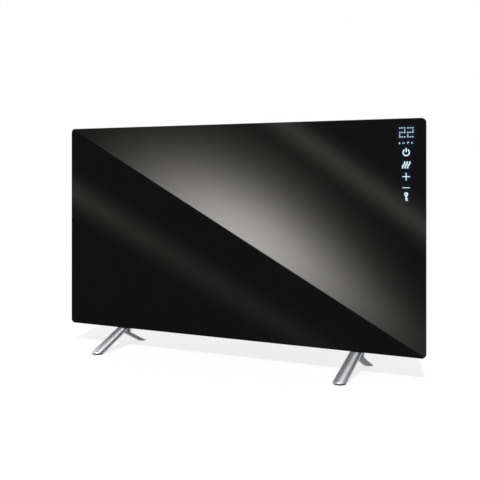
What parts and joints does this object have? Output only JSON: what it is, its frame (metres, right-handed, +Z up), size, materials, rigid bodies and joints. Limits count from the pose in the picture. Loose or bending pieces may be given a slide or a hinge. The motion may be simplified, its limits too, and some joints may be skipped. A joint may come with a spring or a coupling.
{
  "type": "infrared panel heater",
  "caption": "Slim free-standing infrared panel heater: upright black glass front with a lit touch display on a folded steel body, standing on V-shaped aluminium feet.",
  "frame": {"origin": "on the floor, in the middle between the two feet and between their front and back toes", "axes": "+X to the right along the glass seen from the front, +Y from the glass towards the back, +Z up"},
  "size_m": [0.83, 0.1933, 0.493],
  "materials": {
    "black_glass": "gloss",
    "black_silicone": "matte",
    "black_rubber": "matte",
    "black_steel": "satin",
    "zinc_steel": "satin",
    "black_screws": "satin",
    "stainless_screws": "satin",
    "satin_aluminium": "satin",
    "plain_aluminium": "satin",
    "bright_foil": "polished",
    "heater_alloy": "satin",
    "mica": "matte",
    "white_ceramic": "matte",
    "mineral_wool": "matte",
    "black_phenolic": "matte",
    "brass": "satin",
    "grey_moulding": "matte",
    "green_board": "satin",
    "terminal_grey": "matte",
    "relay_blue": "gloss",
    "transformer_yellow": "satin",
    "capacitor_red": "gloss",
    "chip_black": "matte",
    "fuse_glass": "gloss",
    "dark_aluminium": "satin",
    "display_black": "gloss",
    "key_foam": "matte",
    "header_white": "satin",
    "ribbon_grey": "satin",
    "rocker_black": "gloss",
    "black_nylon": "satin",
    "sensor_white": "satin",
    "sensor_dark": "satin",
    "heat_proof_sleeve": "satin",
    "lead_blue": "satin"
  },
  "bodies": {
    "panel": {"glass_front": "black_glass", "bonding_seal": "black_silicone", "divider_grommet": "black_silicone", "foot_pads_left": "black_rubber", "foot_pads_right": "black_rubber", "wall_bumpers": "black_rubber", "support_frame": "black_steel", "rear_cover": "black_steel", "insulation_straps": "zinc_steel", "divider_rail": "zinc_steel", "nut_plates": "zinc_steel", "wall_hangers": "zinc_steel", "clip_nuts": "zinc_steel", "inner_screws": "zinc_steel", "tilt_pin": "zinc_steel", "cover_screws": "black_screws", "back_screws": "black_screws", "foot_screws": "stainless_screws", "foot_left": "satin_aluminium", "foot_right": "satin_aluminium", "heat_spreader": "plain_aluminium", "rating_plate": "plain_aluminium", "reflector_foil": "bright_foil", "heating_track": "heater_alloy", "mica_sheets": "mica", "terminal_bushes": "white_ceramic", "insulation_board": "mineral_wool", "thermal_cutouts": "black_phenolic", "switch_body": "black_phenolic", "display_carrier": "black_phenolic", "terminal_studs": "brass", "switch_blades": "brass", "fuse_clips": "brass", "earth_stud": "brass", "control_box": "grey_moulding", "control_lid": "grey_moulding", "tilt_housing": "grey_moulding", "tilt_cover": "grey_moulding", "power_board": "green_board", "touch_board": "green_board", "terminal_block": "terminal_grey", "power_relay": "relay_blue", "transformer": "transformer_yellow", "capacitors": "capacitor_red", "control_chips": "chip_black", "buzzer": "chip_black", "fuse": "fuse_glass", "triac_sink": "dark_aluminium", "led_display": "display_black", "key_plugs": "key_foam", "ribbon_headers": "header_white", "ribbon_cable": "ribbon_grey", "cord_gland": "black_nylon", "gland_nut": "black_nylon", "air_sensor": "sensor_white", "tilt_sensor": "sensor_dark", "heater_leads": "heat_proof_sleeve", "control_leads": "lead_blue"},
    "rocker": {"switch_rocker": "rocker_black"},
    "pendulum": {"tilt_pendulum": "brass"}
  },
  "joints": [
    {"name": "mains_switch", "type": "hinge", "parent": "panel", "child": "rocker", "pos_m": [0.355, 0.0448, 0.136], "axis": [1, 0, 0], "range_deg": [-20, 0]},
    {"name": "tip_over_swing", "type": "hinge", "parent": "panel", "child": "pendulum", "pos_m": [0.321, 0.0223, 0.092], "axis": [1, 0, 0], "range_deg": [-15, 15]}
  ]
}
